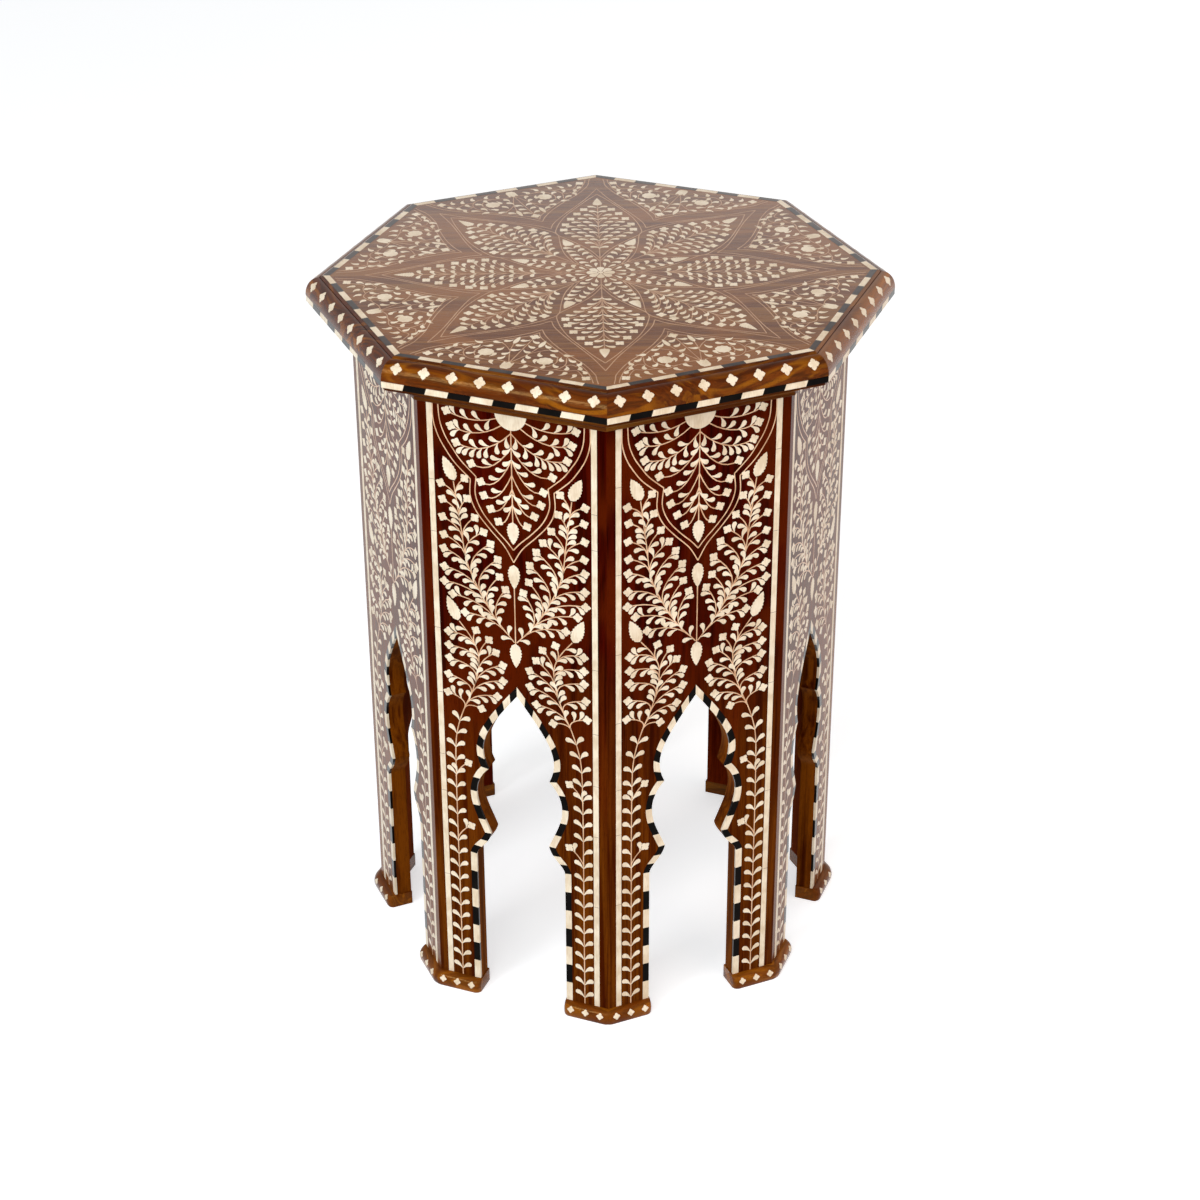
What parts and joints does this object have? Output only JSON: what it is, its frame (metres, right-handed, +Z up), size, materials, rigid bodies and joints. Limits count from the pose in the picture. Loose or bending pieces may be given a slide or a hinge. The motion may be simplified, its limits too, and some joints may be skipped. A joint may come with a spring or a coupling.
{
  "type": "octagonal kursi table",
  "caption": "Octagonal side table with a moulded inlaid top, mitred side panels cut to cusped arches, and V-shaped corner feet.",
  "frame": {"origin": "floor level at the middle of the table", "axes": "+Z up through the middle of the top; the flats of the octagon face +X, -X, +Y and -Y"},
  "size_m": [0.448, 0.448, 0.61],
  "materials": {
    "panel_rosewood": "deep red-brown rosewood under clear gloss lacquer",
    "moulding_rosewood": "golden brown rosewood with red streaks under clear gloss lacquer",
    "plain_wood": "plain brown wood, thinly lacquered",
    "bone": "polished cream bone under lacquer",
    "ebony": "polished black ebony under lacquer"
  },
  "bodies": {
    "root": {"top_board": "panel_rosewood", "top_chequer_border": "bone", "edge_moulding_1": "moulding_rosewood", "edge_moulding_2": "moulding_rosewood", "edge_moulding_3": "moulding_rosewood", "edge_moulding_4": "moulding_rosewood", "edge_moulding_5": "moulding_rosewood", "edge_moulding_6": "moulding_rosewood", "edge_moulding_7": "moulding_rosewood", "edge_moulding_8": "moulding_rosewood", "moulding_chequer_1": "ebony", "moulding_chequer_2": "ebony", "moulding_chequer_3": "ebony", "moulding_chequer_4": "ebony", "moulding_chequer_5": "ebony", "moulding_chequer_6": "ebony", "moulding_chequer_7": "ebony", "moulding_chequer_8": "ebony", "cove_moulding_1": "plain_wood", "cove_moulding_2": "plain_wood", "cove_moulding_3": "plain_wood", "cove_moulding_4": "plain_wood", "cove_moulding_5": "plain_wood", "cove_moulding_6": "plain_wood", "cove_moulding_7": "plain_wood", "cove_moulding_8": "plain_wood", "side_panel_1": "panel_rosewood", "side_panel_2": "panel_rosewood", "side_panel_3": "panel_rosewood", "side_panel_4": "panel_rosewood", "side_panel_5": "panel_rosewood", "side_panel_6": "panel_rosewood", "side_panel_7": "panel_rosewood", "side_panel_8": "panel_rosewood", "arch_chequer_1": "bone", "arch_chequer_2": "bone", "arch_chequer_3": "bone", "arch_chequer_4": "bone", "arch_chequer_5": "bone", "arch_chequer_6": "bone", "arch_chequer_7": "bone", "arch_chequer_8": "bone", "corner_foot_1": "moulding_rosewood", "corner_foot_2": "moulding_rosewood", "corner_foot_3": "moulding_rosewood", "corner_foot_4": "moulding_rosewood", "corner_foot_5": "moulding_rosewood", "corner_foot_6": "moulding_rosewood", "corner_foot_7": "moulding_rosewood", "corner_foot_8": "moulding_rosewood", "glue_block_1": "plain_wood", "glue_block_2": "plain_wood", "glue_block_3": "plain_wood", "glue_block_4": "plain_wood", "glue_block_5": "plain_wood", "glue_block_6": "plain_wood", "glue_block_7": "plain_wood", "glue_block_8": "plain_wood"}
  },
  "joints": []
}
